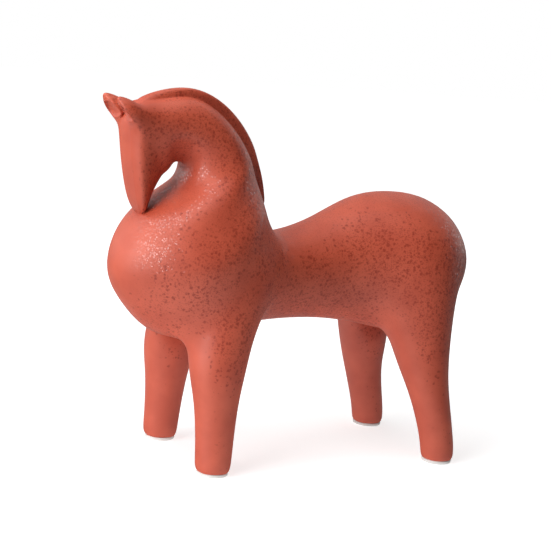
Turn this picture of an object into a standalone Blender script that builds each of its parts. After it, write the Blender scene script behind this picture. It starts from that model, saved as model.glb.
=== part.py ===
"""Ceramic horse figurine with a matte coral glaze, standing on four soft pads.

The figure faces -Y, its left side is at +X and its pads stand on z = 0.  It is divided the way a
pottery divides such a figure: torso, neck with head and four legs are hollow castings, the ears, mane
and tail are pressed by hand, and all are luted together with a thin line of slip.
"""

import math
from dataclasses import dataclass

import bmesh
import bpy
from mathutils import Vector

# Wall of the castings, the line of slip or glue in every joint, and how high the neck is joined on
WALL = 0.0045
SLIP_GAP = 0.0003
NECK_JOINT_HEIGHT = 0.1630

# Foot pads, and the soles above them
PAD_RADIUS = 0.0082
PAD_THICKNESS = 0.0020
VENT_RADIUS = 0.0020
SOLE_WALL = 0.0050
SOLE_HEIGHT = PAD_THICKNESS + SLIP_GAP

# Legs: where each section is centred, its height and its radius
FOOT_RADIUS = 0.0100
FOOT_ROUNDING = 0.0020
ANKLE_HEIGHT = 0.0100
KNEE_HEIGHT = 0.0400
THIGH_HEIGHT = 0.0600
LEG_JOINT_HEIGHT = 0.0480
FRONT_FOOT_X = 0.0347
FRONT_FOOT_Y = -0.0560
FRONT_KNEE_X = 0.0324
FRONT_KNEE_RADIUS = 0.0121
FRONT_THIGH_X = 0.0317
FRONT_THIGH_Y = -0.0590
FRONT_THIGH_RADIUS = 0.0152
HIND_FOOT_X = 0.0390
HIND_FOOT_Y = 0.0907
HIND_KNEE_X = 0.0380
HIND_KNEE_Y = 0.0820
HIND_KNEE_RADIUS = 0.0116
HIND_THIGH_X = 0.0320
HIND_THIGH_Y = 0.0779
HIND_THIGH_RADIUS = 0.0160

# Mane: a strip along the crest of the neck, rooted below the neck's surface
MANE_WIDTH = 0.0070
MANE_HEIGHT = 0.0064
MANE_ROOT = 0.0050
MANE_ROUNDING = 0.0012
MANE_LEAN = 1.1
FORELOCK_REACH = 0.80

# Tail: a short roll down the middle of the rump
TAIL_WIDTH = 0.0130
TAIL_HEIGHT = 0.0050
TAIL_ROOT = 0.0060
TAIL_ROUNDING = 0.0030
TAIL_LEAN = 1.3
TAIL_REACH = 0.5

# How far the ends of mane and tail dip below the surface, as a share of their root
STRIP_END_DIP = 0.33

# Ears: a leaf with a hollowed front, rooted in the head behind the brow and leaning forward
EAR_LENGTH = 0.0215
EAR_WIDTH = 0.0145
EAR_THICKNESS = 0.0125
EAR_TAPER = 0.85
EAR_HOLLOW = 0.0032
EAR_HOLLOW_WIDTH = 0.62
EAR_HOLLOW_LENGTH = 0.84
EAR_SPREAD = 0.0105
EAR_SET_BACK = 0.0078
EAR_SINK = 0.0043
EAR_LEAN = math.radians(55.0)
EAR_TURN = math.radians(18.0)

CORAL = (0.53, 0.105, 0.062, 1.0)
GLAZE_ROUGHNESS = 0.55
PAD_WHITE = (0.80, 0.79, 0.77, 1.0)
PAD_ROUGHNESS = 0.80


@dataclass(frozen=True)
class Station:
    """One cross-section of the form: its back-line and belly-line points (y, z) and half its width.

    The roundness is 1 for an oval section and less for one with flatter sides.
    """

    back: tuple
    belly: tuple
    half_width: float
    roundness: float = 1.0


RUMP_END = Station(back=(0.1133, 0.1215), belly=(0.1116, 0.1045), half_width=0.0110)
RUMP = Station(back=(0.1050, 0.1370), belly=(0.1020, 0.0905), half_width=0.0280)
HAUNCH_REAR = Station(back=(0.0892, 0.1500), belly=(0.0890, 0.0770), half_width=0.0410)
HAUNCH = Station(back=(0.0643, 0.1545), belly=(0.0736, 0.0720), half_width=0.0438)
LOIN = Station(back=(0.0386, 0.1497), belly=(0.0521, 0.0766), half_width=0.0335)
WAIST = Station(back=(0.0141, 0.1377), belly=(0.0121, 0.0815), half_width=0.0268)
GIRTH = Station(back=(-0.0059, 0.1302), belly=(-0.0409, 0.0795), half_width=0.0312)
SHOULDER = Station(back=(-0.0169, 0.1317), belly=(-0.0589, 0.0738), half_width=0.0388)
WITHERS = Station(back=(-0.0234, 0.1415), belly=(-0.0809, 0.0730), half_width=0.0422)
BREAST = Station(back=(-0.0264, 0.1490), belly=(-0.1011, 0.0888), half_width=0.0440)
CHEST = Station(back=(-0.0289, 0.1560), belly=(-0.1107, 0.1080), half_width=0.0395)
CHEST_TOP = Station(back=(-0.0314, 0.1620), belly=(-0.1042, 0.1290), half_width=0.0335)
NECK_BASE = Station(back=(-0.0349, 0.1690), belly=(-0.0844, 0.1447), half_width=0.0280)
NECK = Station(back=(-0.0404, 0.1785), belly=(-0.0715, 0.1552), half_width=0.0243)
NECK_TOP = Station(back=(-0.0529, 0.1925), belly=(-0.0701, 0.1640), half_width=0.0210)
CREST = Station(back=(-0.0719, 0.2020), belly=(-0.0724, 0.1678), half_width=0.0187)
POLL = Station(back=(-0.0919, 0.2008), belly=(-0.0804, 0.1690), half_width=0.0172)
BROW = Station(back=(-0.1094, 0.1925), belly=(-0.0879, 0.1620), half_width=0.0162, roundness=0.80)
FACE = Station(back=(-0.1074, 0.1680), belly=(-0.0927, 0.1532), half_width=0.0146, roundness=0.75)
MUZZLE = Station(back=(-0.1014, 0.1485), belly=(-0.0937, 0.1460), half_width=0.0120, roundness=0.75)
LIPS = Station(back=(-0.0979, 0.1420), belly=(-0.0959, 0.1415), half_width=0.0070, roundness=0.75)
STATIONS = (
    RUMP_END, RUMP, HAUNCH_REAR, HAUNCH, LOIN, WAIST, GIRTH, SHOULDER, WITHERS, BREAST,
    CHEST, CHEST_TOP, NECK_BASE, NECK, NECK_TOP, CREST, POLL, BROW, FACE, MUZZLE, LIPS,
)

# Cage points on one side of a section, from the belly line up to the back line. A leg grows from a patch
# of four faces, whose middle is this many points up from the belly line and whose rim has eight points.
HALF_POINTS = 7
LEG_COLUMN = 2
LEG_POINTS = 8
FORM_LEVEL = 2
HOLLOW_LEVEL = 1
STRIP_STEPS = 4
STRIP_RIM_STEPS = 2
ROUND_SIDES = 32
EAR_SIDES = 16
EAR_RINGS = 10
MERGE_DISTANCE = 1e-5
# Larger than the figure, for blocks that cut away half of the space
REACH = 0.5


def swell(points):
    """Returns how far cage points stand out from the smooth round that a ring of them makes."""
    return 6.0 / (4.0 + 2.0 * math.cos(2.0 * math.pi / points))


def firm(values):
    """Returns cage values whose smoothed run passes through the given values."""
    inner = [b - (a - 2.0 * b + c) / 6.0 for a, b, c in zip(values, values[1:], values[2:])]
    return [values[0], *inner, values[-1]]


def beside(line, distance):
    """Returns a line of (y, z) points moved to its left, as seen along it with z up and y to the right."""
    moved = []
    for index, point in enumerate(line):
        run = line[min(index + 1, len(line) - 1)] - line[max(index - 1, 0)]
        moved.append(point + Vector((-run.y, run.x)).normalized() * distance)
    return moved


def cage_rows(inset):
    """Returns the left half of each station's cage ring, belly to back, with the walls moved in by inset."""
    backs = beside([Vector(station.back) for station in STATIONS], inset)
    bellies = beside([Vector(station.belly) for station in STATIONS], -inset)
    widths = [station.half_width - inset for station in STATIONS]
    spread = swell(2 * (HALF_POINTS - 1))
    rows = []
    for station, back, belly, width in zip(STATIONS, firm(backs), firm(bellies), firm(widths)):
        middle = Vector((0.0, *(back + belly) / 2.0))
        arm = Vector((0.0, *(back - belly) / 2.0)) * spread
        row = []
        for point in range(HALF_POINTS):
            angle = math.pi * point / (HALF_POINTS - 1)
            rise = math.copysign(abs(math.cos(angle)) ** station.roundness, -math.cos(angle))
            on_middle_plane = point in (0, HALF_POINTS - 1)
            side = 0.0 if on_middle_plane else width * spread * math.sin(angle) ** station.roundness
            row.append(middle + arm * rise + Vector((side, 0.0, 0.0)))
        rows.append(row)
    return rows


def front_leg_sections(inset, lowest):
    """Returns centre and radius of the front leg's sections, from the shoulder down to a lowest height."""
    return (
        (Vector((FRONT_THIGH_X, FRONT_THIGH_Y, THIGH_HEIGHT)), FRONT_THIGH_RADIUS - inset),
        (Vector((FRONT_KNEE_X, FRONT_FOOT_Y, KNEE_HEIGHT)), FRONT_KNEE_RADIUS - inset),
        (Vector((FRONT_FOOT_X, FRONT_FOOT_Y, ANKLE_HEIGHT)), FOOT_RADIUS - inset),
        (Vector((FRONT_FOOT_X, FRONT_FOOT_Y, lowest)), FOOT_RADIUS - inset),
    )


def hind_leg_sections(inset, lowest):
    """Returns centre and radius of the hind leg's sections, from the haunch down to a lowest height."""
    return (
        (Vector((HIND_THIGH_X, HIND_THIGH_Y, THIGH_HEIGHT)), HIND_THIGH_RADIUS - inset),
        (Vector((HIND_KNEE_X, HIND_KNEE_Y, KNEE_HEIGHT)), HIND_KNEE_RADIUS - inset),
        (Vector((HIND_FOOT_X, HIND_FOOT_Y, ANKLE_HEIGHT)), FOOT_RADIUS - inset),
        (Vector((HIND_FOOT_X, HIND_FOOT_Y, lowest)), FOOT_RADIUS - inset),
    )


def wrap_grid(bm, rows):
    """Adds a grid wrapped over the rows of cage points, closes its ends and returns its points by row."""
    made = bmesh.ops.create_grid(bm, x_segments=HALF_POINTS - 1, y_segments=len(rows) - 1, size=1.0)
    grid = [made["verts"][i:i + HALF_POINTS] for i in range(0, len(made["verts"]), HALF_POINTS)]
    for points, row in zip(grid, rows):
        for point, place in zip(points, row):
            point.co = place
    bm.faces.new(list(reversed(grid[0])))
    bm.faces.new(grid[-1])
    return grid


def grow_leg(bm, grid, station, sections):
    """Extrudes a leg through its sections from the patch of four faces on the station's low side."""
    row_layer = bm.verts.layers.int["leg_row"]
    column_layer = bm.verts.layers.int["leg_column"]
    patch = set()
    for row in (-1, 0, 1):
        for column in (-1, 0, 1):
            point = grid[station + row][LEG_COLUMN + column]
            point[row_layer] = row
            point[column_layer] = column
            patch.add(point)
    faces = [face for face in bm.faces if patch.issuperset(face.verts)]
    for centre, radius in sections:
        grown = bmesh.ops.extrude_face_region(bm, geom=faces)["geom"]
        bmesh.ops.delete(bm, geom=faces, context="FACES")
        faces = [item for item in grown if isinstance(item, bmesh.types.BMFace)]
        for item in grown:
            if isinstance(item, bmesh.types.BMVert):
                outward = Vector((item[column_layer], -item[row_layer], 0.0))
                item.co = centre + outward.normalized() * radius * swell(LEG_POINTS)


def mesh_from(name, bm):
    """Returns a mesh made from a bmesh, which it frees."""
    mesh = bpy.data.meshes.new(name)
    bm.to_mesh(mesh)
    bm.free()
    return mesh


def form_mesh(name, first, last, inset=0.0, sole=None):
    """Returns the left half of the cage between two stations, with legs if it has a sole height."""
    bm = bmesh.new()
    bm.verts.layers.int.new("leg_row")
    bm.verts.layers.int.new("leg_column")
    start = STATIONS.index(first)
    grid = wrap_grid(bm, cage_rows(inset)[start:STATIONS.index(last) + 1])
    if sole is not None:
        grow_leg(bm, grid, STATIONS.index(HAUNCH) - start, hind_leg_sections(inset, sole))
        grow_leg(bm, grid, STATIONS.index(SHOULDER) - start, front_leg_sections(inset, sole))
    return mesh_from(name, bm)


def add_piece(name, mesh, collection):
    """Adds an object that holds the mesh to a collection."""
    piece = bpy.data.objects.new(name, mesh)
    collection.objects.link(piece)
    return piece


def add_cutter(name, mesh, collection):
    """Adds an object that only cuts others and isn't part of the figure."""
    cutter = add_piece(name, mesh, collection)
    cutter.hide_render = True
    cutter.display_type = "WIRE"
    return cutter


def smooth_form(piece, level, offset=0.0):
    """Mirrors a half cage across the middle plane, smooths it and moves its surface out by an offset."""
    mirror = piece.modifiers.new("both sides", "MIRROR")
    mirror.use_axis = (True, False, False)
    mirror.merge_threshold = MERGE_DISTANCE
    smooth = piece.modifiers.new("soft form", "SUBSURF")
    smooth.levels = level
    smooth.render_levels = level
    if offset > 0.0:
        swollen = piece.modifiers.new("joint gap", "DISPLACE")
        swollen.strength = offset
        swollen.mid_level = 0.0
    return piece


def cut(piece, cutter, operation="DIFFERENCE"):
    """Cuts a piece with a cutter."""
    knife = piece.modifiers.new(cutter.name, "BOOLEAN")
    knife.operation = operation
    knife.solver = "EXACT"
    knife.object = cutter


def block_mesh(name, low, high):
    """Returns a box between two corners."""
    bm = bmesh.new()
    bmesh.ops.create_cube(bm, size=1.0)
    bmesh.ops.scale(bm, vec=high - low, verts=bm.verts)
    bmesh.ops.translate(bm, vec=(low + high) / 2.0, verts=bm.verts)
    return mesh_from(name, bm)


def slab(name, bottom, top, cutters):
    """Adds a block that covers everything between two heights."""
    low = Vector((-REACH, -REACH, bottom))
    return add_cutter(name, block_mesh(name, low, Vector((REACH, REACH, top))), cutters)


def disc_mesh(name, radius, bottom, top):
    """Returns an upright round disc between two heights."""
    bm = bmesh.new()
    bmesh.ops.create_cone(
        bm, cap_ends=True, segments=ROUND_SIDES, radius1=radius, radius2=radius, depth=top - bottom)
    bmesh.ops.translate(bm, vec=(0.0, 0.0, (bottom + top) / 2.0), verts=bm.verts)
    return mesh_from(name, bm)


def proud_outline(line, height, root, lean):
    """Returns a closed outline that stands proud of a line, dips below it at its ends and is rooted there.

    A lean above 1 moves the highest place away from the start of the line.
    """
    proud = []
    rooted = beside(line, -root)
    for index, (point, low) in enumerate(zip(line, rooted)):
        share = math.sqrt(abs(math.sin(math.pi * (index / (len(line) - 1)) ** lean)))
        rise = height * share - root * STRIP_END_DIP * (1.0 - share)
        proud.append(point + (point - low).normalized() * rise)
    return [*proud, *reversed(rooted)]


def strip_mesh(name, outline, width, rounding, collection):
    """Returns a flat strip on the middle plane with a smooth outline of (y, z) points and round edges."""
    curve = bpy.data.curves.new(name, "CURVE")
    curve.dimensions = "2D"
    curve.fill_mode = "BOTH"
    curve.resolution_u = STRIP_STEPS
    curve.extrude = width / 2.0
    spline = curve.splines.new("BEZIER")
    spline.bezier_points.add(len(outline) - 1)
    spline.use_cyclic_u = True
    for point, (y, z) in zip(spline.bezier_points, outline):
        point.co = (y, z, 0.0)
        point.handle_left_type = "AUTO"
        point.handle_right_type = "AUTO"
    drawn = add_piece(name, curve, collection)
    drawn.rotation_euler = (math.pi / 2.0, 0.0, math.pi / 2.0)
    bpy.context.view_layer.update()
    mesh = bpy.data.meshes.new_from_object(drawn.evaluated_get(bpy.context.evaluated_depsgraph_get()))
    mesh.transform(drawn.matrix_world)
    bpy.data.objects.remove(drawn)
    bm = bmesh.new()
    bm.from_mesh(mesh)
    bpy.data.meshes.remove(mesh)
    bmesh.ops.remove_doubles(bm, verts=bm.verts, dist=MERGE_DISTANCE)
    bmesh.ops.recalc_face_normals(bm, faces=bm.faces)
    on_side = {face for face in bm.faces if abs(face.normal.x) > 0.5}
    rims = [edge for edge in bm.edges if len(on_side.intersection(edge.link_faces)) == 1]
    bmesh.ops.bevel(
        bm, geom=rims, offset=rounding, offset_type="OFFSET", segments=STRIP_RIM_STEPS, profile=0.5,
        affect="EDGES", clamp_overlap=True)
    return mesh_from(name, bm)


def leaf_mesh(name):
    """Returns an ear that stands on its root: a round leaf that narrows to its tip."""
    bm = bmesh.new()
    bmesh.ops.create_uvsphere(bm, u_segments=EAR_SIDES, v_segments=EAR_RINGS, radius=1.0)
    for point in bm.verts:
        rise = (point.co.z + 1.0) / 2.0
        slim = math.sqrt(1.0 - EAR_TAPER * rise ** 2)
        point.co.x *= slim * EAR_WIDTH / 2.0
        point.co.y *= slim * EAR_THICKNESS / 2.0
        point.co.z = rise * EAR_LENGTH
    return mesh_from(name, bm)


def scoop_mesh(name):
    """Returns the round tool that hollows an ear's front, in the ear's own place."""
    bm = bmesh.new()
    bmesh.ops.create_uvsphere(bm, u_segments=EAR_SIDES, v_segments=EAR_RINGS, radius=1.0)
    size = Vector((EAR_HOLLOW_WIDTH * EAR_WIDTH, EAR_THICKNESS, EAR_HOLLOW_LENGTH * EAR_LENGTH))
    bmesh.ops.scale(bm, vec=size / 2.0, verts=bm.verts)
    reach = Vector((0.0, EAR_HOLLOW - EAR_THICKNESS, EAR_LENGTH / 2.0))
    bmesh.ops.translate(bm, vec=reach, verts=bm.verts)
    return mesh_from(name, bm)


def glaze(name, colour, roughness):
    """Returns a plain material of the given colour and roughness."""
    material = bpy.data.materials.new(name)
    material.use_nodes = True
    shader = material.node_tree.nodes["Principled BSDF"]
    shader.inputs["Base Color"].default_value = colour
    shader.inputs["Roughness"].default_value = roughness
    shader.inputs["Metallic"].default_value = 0.0
    return material


def build_torso(figure, cutters, form, hollow):
    """Adds the hollow trunk, open at the neck joint and at the four leg joints."""
    torso = smooth_form(add_piece("torso", form, figure), FORM_LEVEL)
    cut(torso, slab("above_neck_joint", NECK_JOINT_HEIGHT, REACH, cutters))
    cut(torso, slab("below_leg_joints", -REACH, LEG_JOINT_HEIGHT, cutters))
    cut(torso, hollow)
    return torso


def build_legs(figure, cutters, form, hollow):
    """Adds the four hollow legs, each with a flat sole and a vent hole."""
    top = LEG_JOINT_HEIGHT - SLIP_GAP
    for end, foot_x, foot_y in (("front", FRONT_FOOT_X, FRONT_FOOT_Y), ("hind", HIND_FOOT_X, HIND_FOOT_Y)):
        for side, sign in (("left", 1.0), ("right", -1.0)):
            name = f"{end}_{side}_leg"
            leg = smooth_form(add_piece(name, form, figure), FORM_LEVEL)
            corner = Vector((sign * REACH, math.copysign(REACH, foot_y), top))
            low = Vector((min(corner.x, 0.0), min(corner.y, 0.0), SOLE_HEIGHT))
            high = Vector((max(corner.x, 0.0), max(corner.y, 0.0), top))
            cut(leg, add_cutter(f"{name}_room", block_mesh(f"{name}_room", low, high), cutters), "INTERSECT")
            cut(leg, hollow)
            vent = add_cutter(f"{name}_vent", disc_mesh("vent", VENT_RADIUS, 0.0, ANKLE_HEIGHT), cutters)
            vent.location = (sign * foot_x, foot_y, 0.0)
            cut(leg, vent)
            pad_mesh = disc_mesh(f"{end}_{side}_pad", PAD_RADIUS, 0.0, PAD_THICKNESS)
            pad = add_piece(f"{end}_{side}_pad", pad_mesh, figure)
            pad.location = (sign * foot_x, foot_y, 0.0)


def build_neck(figure, cutters, torso_form):
    """Adds the hollow neck with its head, seated on the neck joint and, at the muzzle, on the chest."""
    neck = smooth_form(add_piece("neck_and_head", form_mesh("neck", GIRTH, LIPS), figure), FORM_LEVEL)
    cut(neck, slab("below_muzzle", -REACH, CHEST_TOP.belly[1], cutters))
    seat = smooth_form(add_cutter("torso_seat", torso_form, cutters), FORM_LEVEL, SLIP_GAP)
    cut(seat, slab("above_torso_seat", NECK_JOINT_HEIGHT + SLIP_GAP, REACH, cutters))
    cut(neck, seat)
    hollow = add_cutter("neck_hollow", form_mesh("neck_hollow", CHEST, POLL, WALL), cutters)
    cut(neck, smooth_form(hollow, HOLLOW_LEVEL))
    return neck


def build_trim(figure, cutters, torso_form):
    """Adds the mane, the tail and the ears, each seated on the casting that carries it."""
    neck_skin = add_cutter("neck_skin", form_mesh("neck_skin", GIRTH, LIPS), cutters)
    smooth_form(neck_skin, FORM_LEVEL, SLIP_GAP)
    torso_skin = smooth_form(add_cutter("torso_skin", torso_form, cutters), FORM_LEVEL, SLIP_GAP)
    neck_line = (POLL, CREST, NECK_TOP, NECK, NECK_BASE, CHEST, WITHERS)
    forelock = Vector(POLL.back).lerp(Vector(BROW.back), FORELOCK_REACH)
    crest = [forelock, *(Vector(station.back) for station in neck_line)]
    outline = proud_outline(crest, MANE_HEIGHT, MANE_ROOT, MANE_LEAN)
    mane = add_piece("mane", strip_mesh("mane", outline, MANE_WIDTH, MANE_ROUNDING, cutters), figure)
    cut(mane, neck_skin)
    tip = Vector(RUMP_END.belly).lerp(Vector(RUMP.belly), TAIL_REACH)
    rump = [Vector(RUMP.back), Vector(RUMP_END.back), Vector(RUMP_END.belly), tip]
    outline = proud_outline(rump, TAIL_HEIGHT, TAIL_ROOT, TAIL_LEAN)
    tail = add_piece("tail", strip_mesh("tail", outline, TAIL_WIDTH, TAIL_ROUNDING, cutters), figure)
    cut(tail, torso_skin)
    for side, sign in (("left", 1.0), ("right", -1.0)):
        ear = add_piece(f"{side}_ear", leaf_mesh(f"{side}_ear"), figure)
        scoop = add_cutter(f"{side}_ear_scoop", scoop_mesh("ear_scoop"), cutters)
        for item in (ear, scoop):
            item.location = (sign * EAR_SPREAD, BROW.back[0] + EAR_SET_BACK, BROW.back[1] - EAR_SINK)
            item.rotation_mode = "ZYX"
            item.rotation_euler = (EAR_LEAN, 0.0, -sign * EAR_TURN)
        cut(ear, scoop)
        cut(ear, neck_skin)


def main():
    """Builds the figure and hangs its pieces on one empty."""
    for item in list(bpy.data.objects):
        bpy.data.objects.remove(item)
    figure = bpy.data.collections.new("ceramic_horse")
    cutters = bpy.data.collections.new("cutters")
    for collection in (figure, cutters):
        bpy.context.scene.collection.children.link(collection)
    torso_form = form_mesh("torso_form", RUMP_END, POLL, sole=SOLE_HEIGHT - FOOT_ROUNDING)
    hollow_mesh = form_mesh("torso_hollow", RUMP, POLL, WALL, SOLE_HEIGHT + SOLE_WALL)
    hollow = smooth_form(add_cutter("torso_hollow", hollow_mesh, cutters), HOLLOW_LEVEL)
    build_torso(figure, cutters, torso_form, hollow)
    build_legs(figure, cutters, torso_form, hollow)
    build_neck(figure, cutters, torso_form)
    build_trim(figure, cutters, torso_form)
    stand = bpy.data.objects.new("horse_stand", None)
    figure.objects.link(stand)
    for piece in figure.objects:
        if piece.type != "MESH":
            continue
        piece.parent = stand
        is_pad = piece.name.endswith("_pad")
        colour = PAD_WHITE if is_pad else CORAL
        roughness = PAD_ROUGHNESS if is_pad else GLAZE_ROUGHNESS
        piece.data = piece.data.copy()
        piece.data.materials.append(glaze(f"{piece.name}_finish", colour, roughness))
        piece.data.shade_smooth()


main()
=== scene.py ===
"""Ceramic horse figurine with a speckled matte coral glaze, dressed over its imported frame.

The figure faces -Y with its left side towards +X and stands on z = 0.  One continuous clay skin is
modelled as a smooth cage, with legs, ears and mane drawn out of it, and is then divided along the
joints of the castings, so that every piece stands for one node of the frame and no joint shows.
"""

from __future__ import annotations

import logging
import math
from collections.abc import Callable, Iterator
from dataclasses import dataclass
from enum import Enum

import bmesh
import bpy
import numpy as np
from mathutils import Matrix, Vector

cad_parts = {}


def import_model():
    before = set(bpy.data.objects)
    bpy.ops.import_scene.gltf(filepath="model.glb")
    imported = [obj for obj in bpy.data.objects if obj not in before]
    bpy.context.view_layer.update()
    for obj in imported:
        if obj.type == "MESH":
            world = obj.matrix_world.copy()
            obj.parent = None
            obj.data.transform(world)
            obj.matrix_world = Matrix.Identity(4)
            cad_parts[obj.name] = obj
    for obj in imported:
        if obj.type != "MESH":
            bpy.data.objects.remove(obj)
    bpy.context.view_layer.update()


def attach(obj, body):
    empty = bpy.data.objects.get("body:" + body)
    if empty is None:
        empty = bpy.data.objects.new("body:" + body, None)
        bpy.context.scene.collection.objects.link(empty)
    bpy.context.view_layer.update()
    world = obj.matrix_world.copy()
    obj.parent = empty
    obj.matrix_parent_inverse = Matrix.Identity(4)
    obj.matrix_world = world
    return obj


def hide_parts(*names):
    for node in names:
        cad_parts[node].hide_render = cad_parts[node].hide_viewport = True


LOG = logging.getLogger("ceramic_horse")
ROOT_BODY = "root"
MERGE_DISTANCE = 1e-5
CUT_THRESHOLD = 1e-6
FACES_UP = 0.99
PATCH_POINTS = 8
MIDDLE = (0.5, 0.5, 0.5)
WHITE = (1.0, 1.0, 1.0, 1.0)
# Each foot with its side, 1 for the left, and its end, 1 for the hind end.
FEET = (
    ("front_left", 1.0, -1.0),
    ("front_right", -1.0, -1.0),
    ("hind_left", 1.0, 1.0),
    ("hind_right", -1.0, 1.0),
)

Piece = bpy.types.Object
EditMesh = bmesh.types.BMesh
Socket = bpy.types.NodeSocket
Colour = tuple[float, float, float, float]
Point = tuple[float, float, float]
Step = tuple[float, ...]
Inputs = dict[str | int, object]


class Slot(Enum):
    """Names of the finishes of the record."""

    CORAL_GLAZE = "coral_glaze"
    WHITE_PAD = "white_pad"


class Region(Enum):
    """Parts of the clay skin divided from it again, with the label that each one's steps start at."""

    BODY = 0
    MANE = 10
    LEFT_EAR = 20
    RIGHT_EAR = 30


@dataclass(frozen=True)
class Station:
    """One cross-section of the form.

    Attributes:
        back: Point (y, z) on the back line.
        belly: Point (y, z) on the belly line.
        half_width: Half the section's width.
        roundness: 1 for an oval section, less for a squarer one, on the half by the back line.
        belly_roundness: The same on the half by the belly line.
        strip: Half the width of the strip along the back line that mane or tail take.
        mane: Height of the mane above the back line.
        taper: How much narrower the section is by the belly line than by the back line.
    """

    back: tuple[float, float]
    belly: tuple[float, float]
    half_width: float
    roundness: float = 1.0
    belly_roundness: float = 1.0
    strip: float = 0.0042
    mane: float = 0.0
    taper: float = 0.0


@dataclass(frozen=True)
class Section:
    """One section of a limb.

    Attributes:
        centre: Its centre, on the left side.
        radius: Half its width.
        stretch: How much deeper than wide it is.
    """

    centre: Point
    radius: float
    stretch: float = 1.0


class Bench:
    """Selecting, editing and finishing of one mesh object with Blender's operators."""

    def __init__(self, piece: Piece) -> None:
        """Takes the object to work on."""
        self.piece = piece

    def take(self) -> None:
        """Makes the piece the only selected and the active object."""
        bpy.ops.object.select_all(action="DESELECT")
        self.piece.select_set(True)
        bpy.context.view_layer.objects.active = self.piece

    def edit(self, mode: str = "FACE") -> EditMesh:
        """Opens the piece in edit mode with nothing selected.

        Args:
            mode: The kind of element to select.

        Returns:
            The edit mesh.
        """
        self.take()
        bpy.ops.object.mode_set(mode="EDIT")
        bpy.ops.mesh.select_mode(type=mode)
        bpy.ops.mesh.select_all(action="DESELECT")
        return bmesh.from_edit_mesh(self.piece.data)

    @staticmethod
    def leave() -> None:
        """Goes back to object mode."""
        bpy.ops.object.mode_set(mode="OBJECT")

    def apply(self, kind: str, **settings: object) -> None:
        """Adds a modifier with the given settings and applies it.

        Args:
            kind: Blender's name for the kind of modifier.
            **settings: Values of the modifier.
        """
        self.take()
        modifier = self.piece.modifiers.new(kind.lower(), kind)
        for name, value in settings.items():
            setattr(modifier, name, value)
        bpy.ops.object.modifier_apply(modifier=modifier.name)

    def face_out(self) -> None:
        """Points every face outwards."""
        self.edit()
        bpy.ops.mesh.select_all(action="SELECT")
        bpy.ops.mesh.normals_make_consistent(inside=False)
        self.leave()

    def smooth(self, level: int) -> None:
        """Turns the cage into the smooth form that it stands for.

        Args:
            level: How often its faces are divided.
        """
        self.face_out()
        self.apply("SUBSURF", levels=level, render_levels=level)
        bpy.ops.object.shade_smooth()

    def pick(self, mode: str, test: Callable[..., bool]) -> None:
        """Opens the piece in edit mode and selects what passes a test.

        Args:
            mode: EDGE to test edges, FACE to test faces.
            test: Says if an edge or a face passes.
        """
        bm = self.edit(mode)
        for item in bm.edges if mode == "EDGE" else bm.faces:
            item.select_set(test(item))
        bmesh.update_edit_mesh(self.piece.data)

    def open_at(self, chosen: np.ndarray) -> None:
        """Opens the piece in edit mode with some of its faces selected.

        Args:
            chosen: True for each face to select.
        """
        self.edit()
        self.leave()
        self.piece.data.polygons.foreach_set("select", chosen.astype(bool))
        bpy.ops.object.mode_set(mode="EDIT")

    def part_off(self, chosen: np.ndarray, name: str, as_grid: bool) -> Piece:
        """Separates faces into a new object and closes the rims of both.

        Args:
            chosen: True for each face to separate.
            name: Name of the new object.
            as_grid: True to close the rims with a grid of faces, False with one flat face.

        Returns:
            The new object.
        """
        self.open_at(chosen)
        bpy.ops.mesh.separate(type="SELECTED")
        self.leave()
        made = next(item for item in bpy.context.selected_objects if item is not self.piece)
        made.name = made.data.name = name
        Bench(made).close(as_grid)
        self.close(as_grid)
        return made

    def cut(self, chosen: np.ndarray, height: float, clear_below: bool = False) -> None:
        """Cuts faces along a level plane.

        Args:
            chosen: True for each face to cut.
            height: Height of the plane.
            clear_below: True to remove what lies below it.
        """
        self.open_at(chosen)
        bpy.ops.mesh.bisect(
            plane_co=(0.0, 0.0, height), plane_no=(0.0, 0.0, 1.0), use_fill=False,
            clear_inner=clear_below, clear_outer=False, threshold=CUT_THRESHOLD)
        self.leave()

    def close(self, as_grid: bool) -> None:
        """Closes the one open rim.

        Args:
            as_grid: True to fill the rim with a grid of faces, False with one flat face.
        """
        self.edit("EDGE")
        bpy.ops.mesh.select_non_manifold(
            extend=False, use_wire=False, use_multi_face=False, use_non_contiguous=False, use_verts=False)
        if as_grid:
            bpy.ops.mesh.fill_grid()
        else:
            bpy.ops.mesh.edge_face_add()
        self.leave()


def read(items: bpy.types.bpy_prop_collection, name: str, width: int = 1,
         kind: type = np.float32) -> np.ndarray:
    """Reads one property of all the items of a mesh.

    Args:
        items: The items, such as its points or faces.
        name: The property.
        width: How many numbers each holds.
        kind: Kind of the numbers.

    Returns:
        The numbers, in one row for each item where there are several.
    """
    values = np.empty(len(items) * width, kind)
    items.foreach_get(name, values)
    return values.reshape(-1, width) if width > 1 else values


def through(points: np.ndarray, closed: bool) -> np.ndarray:
    """Works out cage points whose smoothed run passes through the given points.

    A smoothed point takes four sixths of its own cage point and a sixth of each one beside it.

    Args:
        points: The points, along the first axis.
        closed: True if the run is a ring; the ends of an open run stay where they are.

    Returns:
        The cage points, in the same order.
    """
    count = len(points)
    share = np.eye(count) * 4.0
    for index in range(count):
        for beside in (index - 1, index + 1):
            if closed or 0 <= beside < count:
                share[index, beside % count] += 1.0
    if not closed:
        share[0] = np.eye(count)[0] * 6.0
        share[-1] = np.eye(count)[-1] * 6.0
    flat = np.linalg.solve(share / 6.0, points.reshape(count, -1))
    return flat.reshape(points.shape)


def swell(points: int) -> float:
    """Returns how far a ring of cage points stands out from the smooth round that it makes."""
    return 6.0 / (4.0 + 2.0 * math.cos(2.0 * math.pi / points))


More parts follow.
